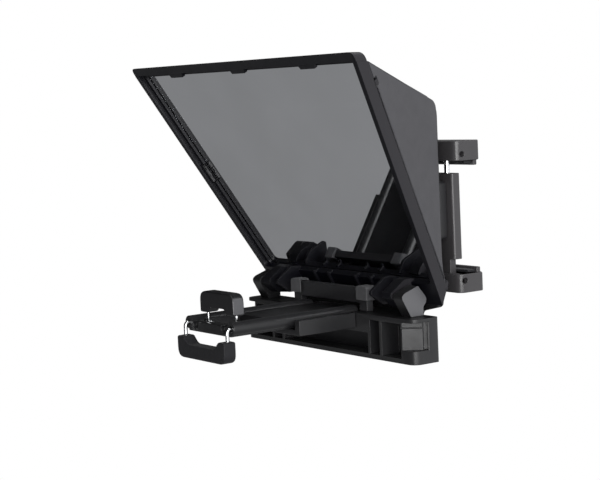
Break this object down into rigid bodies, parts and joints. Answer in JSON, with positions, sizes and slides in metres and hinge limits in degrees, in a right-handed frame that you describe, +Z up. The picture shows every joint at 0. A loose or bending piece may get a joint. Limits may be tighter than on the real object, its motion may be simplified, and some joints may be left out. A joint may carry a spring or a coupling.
{
  "type": "teleprompter",
  "caption": "Folding teleprompter: tilted beam-splitter mirror in a hinged frame with a folding hood, a lens ring, a pull-out phone and tablet holder and a rear phone clamp.",
  "frame": {"origin": "on the lens axis, at the shoulder of the lens ring where the lens rim seats", "axes": "+Y along the lens axis from the talent side towards the camera, +Z up, +X to the right seen from the talent side"},
  "size_m": [0.2182, 0.1387, 0.1693],
  "materials": {
    "black_plastic": "fine spark-eroded texture, satin black",
    "dark_plastic": "satin dark grey",
    "hood_panel": "flat matt board, dark grey",
    "rubber": "matt black moulded rubber",
    "grey_rubber": "matt grey moulded rubber",
    "steel": "bright drawn wire",
    "brass_insert": "turned",
    "beam_glass": "half-silvered beam splitter",
    "anodised": "black anodised, turned"
  },
  "bodies": {
    "base": {"base_housing": "black_plastic", "holder_guide": "black_plastic", "tripod_insert": "brass_insert", "rear_plate": "black_plastic", "rear_screw_1": "steel", "rear_screw_2": "steel", "rear_screw_3": "steel", "rear_screw_4": "steel", "lens_ring": "anodised", "lens_ring_nut": "anodised", "rear_stop_bar": "dark_plastic", "rear_stop_pad_right": "grey_rubber", "rear_stop_pad_left": "grey_rubber", "hinge_pin_right": "steel", "hinge_pin_left": "steel", "clamp_mount": "dark_plastic", "clamp_body": "dark_plastic", "clamp_bolt": "steel", "clamp_jaw_bottom": "black_plastic", "clamp_pad_bottom": "rubber", "clamp_set_screw_bottom": "steel"},
    "mirror_frame": {"glass_frame": "black_plastic", "beam_splitter_glass": "beam_glass", "glass_latch_right": "dark_plastic", "glass_latch_left": "dark_plastic"},
    "hood_right": {"hood_side_right": "hood_panel"},
    "hood_left": {"hood_side_left": "hood_panel"},
    "hood_roof": {"hood_top": "hood_panel"},
    "holder": {"holder_slider": "black_plastic"},
    "claw": {"phone_claw_wire": "steel", "phone_claw_pad": "rubber"},
    "bail": {"tablet_bail_wire": "steel", "tablet_bail_pad": "rubber"},
    "upper_jaw": {"clamp_jaw_top": "black_plastic", "clamp_rod_1": "steel", "clamp_rod_2": "steel", "clamp_pad_top": "rubber", "clamp_set_screw_top": "steel"}
  },
  "joints": [
    {"name": "frame_fold", "type": "hinge", "parent": "base", "child": "mirror_frame", "pos_m": [0, -0.026, -0.0515], "axis": [1, 0, 0], "range_deg": [0, 57]},
    {"name": "hood_right_fold", "type": "hinge", "parent": "mirror_frame", "child": "hood_right", "pos_m": [0.08078, -0.01454, -0.0414], "axis": [0.1869, -0.4852, 0.8542], "range_deg": [0, 71.6]},
    {"name": "hood_left_fold", "type": "hinge", "parent": "mirror_frame", "child": "hood_left", "pos_m": [-0.08078, -0.01454, -0.0414], "axis": [0.1869, 0.4852, -0.8542], "range_deg": [0, 71.6]},
    {"name": "hood_roof_fold", "type": "hinge", "parent": "mirror_frame", "child": "hood_roof", "pos_m": [0, -0.08049, 0.07812], "axis": [-1, 0, 0], "range_deg": [0, 42.1]},
    {"name": "holder_slide", "type": "slide", "parent": "base", "child": "holder", "axis": [0, -1, 0], "range_m": [-0.01, 0.02]},
    {"name": "claw_fold", "type": "hinge", "parent": "holder", "child": "claw", "pos_m": [0, -0.1074, -0.0628], "axis": [-1, 0, 0], "range_deg": [0, 90]},
    {"name": "bail_slide", "type": "slide", "parent": "holder", "child": "bail", "axis": [0, -1, 0], "range_m": [0, 0.064]},
    {"name": "jaw_slide", "type": "slide", "parent": "base", "child": "upper_jaw", "axis": [0, 0, 1], "range_m": [0, 0.02], "stiffness_N_per_m": 250, "springref_m": -0.008}
  ]
}
